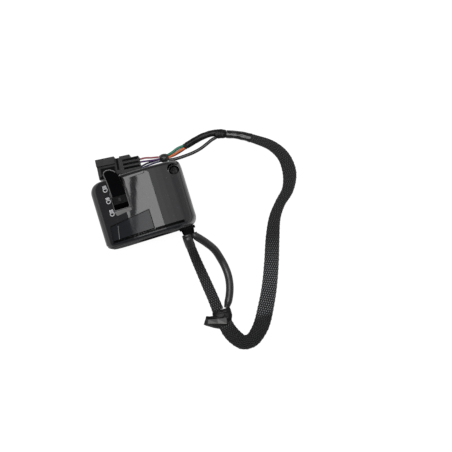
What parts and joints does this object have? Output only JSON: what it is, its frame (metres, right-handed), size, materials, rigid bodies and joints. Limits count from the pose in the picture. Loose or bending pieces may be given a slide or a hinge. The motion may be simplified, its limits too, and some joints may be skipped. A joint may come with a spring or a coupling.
{
  "type": "handlebar switch cluster",
  "caption": "Two-part handlebar switch housing with a thumb rocker, a sunk side panel and a sleeved wiring harness that ends in a plug.",
  "frame": {"origin": "on the handlebar's axis, half way along the housing", "axes": "+X along the bar towards the inboard end where the harness leaves, +Y up when mounted, +Z out of the switch face towards the rider"},
  "size_m": [0.1589, 0.1416, 0.0561],
  "materials": {
    "shell_plastic": "satin moulded",
    "panel_plastic": "satin moulded",
    "rocker_plastic": "polished moulded",
    "screw_steel": "zinc plated",
    "brass": "bright",
    "grommet_rubber": "matt",
    "base_plastic": "moulded",
    "carriage_plastic": "moulded",
    "sleeve_braid": "woven braid",
    "tube_vinyl": "smooth",
    "tape_vinyl": "wrinkled tape",
    "wrap_tape": "grey tape",
    "green_vinyl": "wire",
    "orange_vinyl": "wire",
    "white_vinyl": "wire",
    "violet_vinyl": "wire",
    "pink_vinyl": "wire",
    "navy_vinyl": "wire",
    "blue_vinyl": "wire",
    "plug_plastic": "satin moulded"
  },
  "bodies": {
    "housing": {"front_shell": "shell_plastic", "rear_shell": "shell_plastic", "side_panel": "panel_plastic", "clamp_screws": "screw_steel", "base_screws": "screw_steel", "pivot_pin": "screw_steel", "threaded_inserts": "brass", "fixed_contacts": "brass", "plug_pins": "brass", "wire_grommet": "grommet_rubber", "contact_base": "base_plastic", "lower_sleeve": "sleeve_braid", "main_sleeve": "sleeve_braid", "tail_sleeve": "sleeve_braid", "side_tube": "tube_vinyl", "upper_cable": "tube_vinyl", "inner_leads": "tube_vinyl", "join_tape": "tape_vinyl", "tape_flag": "tape_vinyl", "fork_tape": "tape_vinyl", "bundle_tape": "wrap_tape", "green_lead": "green_vinyl", "orange_lead": "orange_vinyl", "white_lead": "white_vinyl", "violet_lead": "violet_vinyl", "purple_lead": "violet_vinyl", "pink_lead": "pink_vinyl", "navy_lead": "navy_vinyl", "blue_lead": "blue_vinyl", "plug_shell": "plug_plastic", "plug_rear": "plug_plastic", "plug_latch": "plug_plastic"},
    "rocker": {"rocker_paddle": "rocker_plastic"},
    "carriage": {"contact_carriage": "carriage_plastic", "moving_contact": "brass", "detent_ball": "screw_steel", "detent_spring": "screw_steel"}
  },
  "joints": [
    {"name": "rocker_tilt", "type": "hinge", "parent": "housing", "child": "rocker", "pos_m": [-0.0104, -0.0129, 0.023], "axis": [0, -1, 0], "range_deg": [0, 24]},
    {"name": "carriage_slide", "type": "slide", "parent": "housing", "child": "carriage", "axis": [1, 0, 0], "range_m": [0, 0.00271]}
  ],
  "couplings": [
    {"joint": "carriage_slide", "follows": "rocker_tilt", "m_per_rad": 0.0064526}
  ]
}
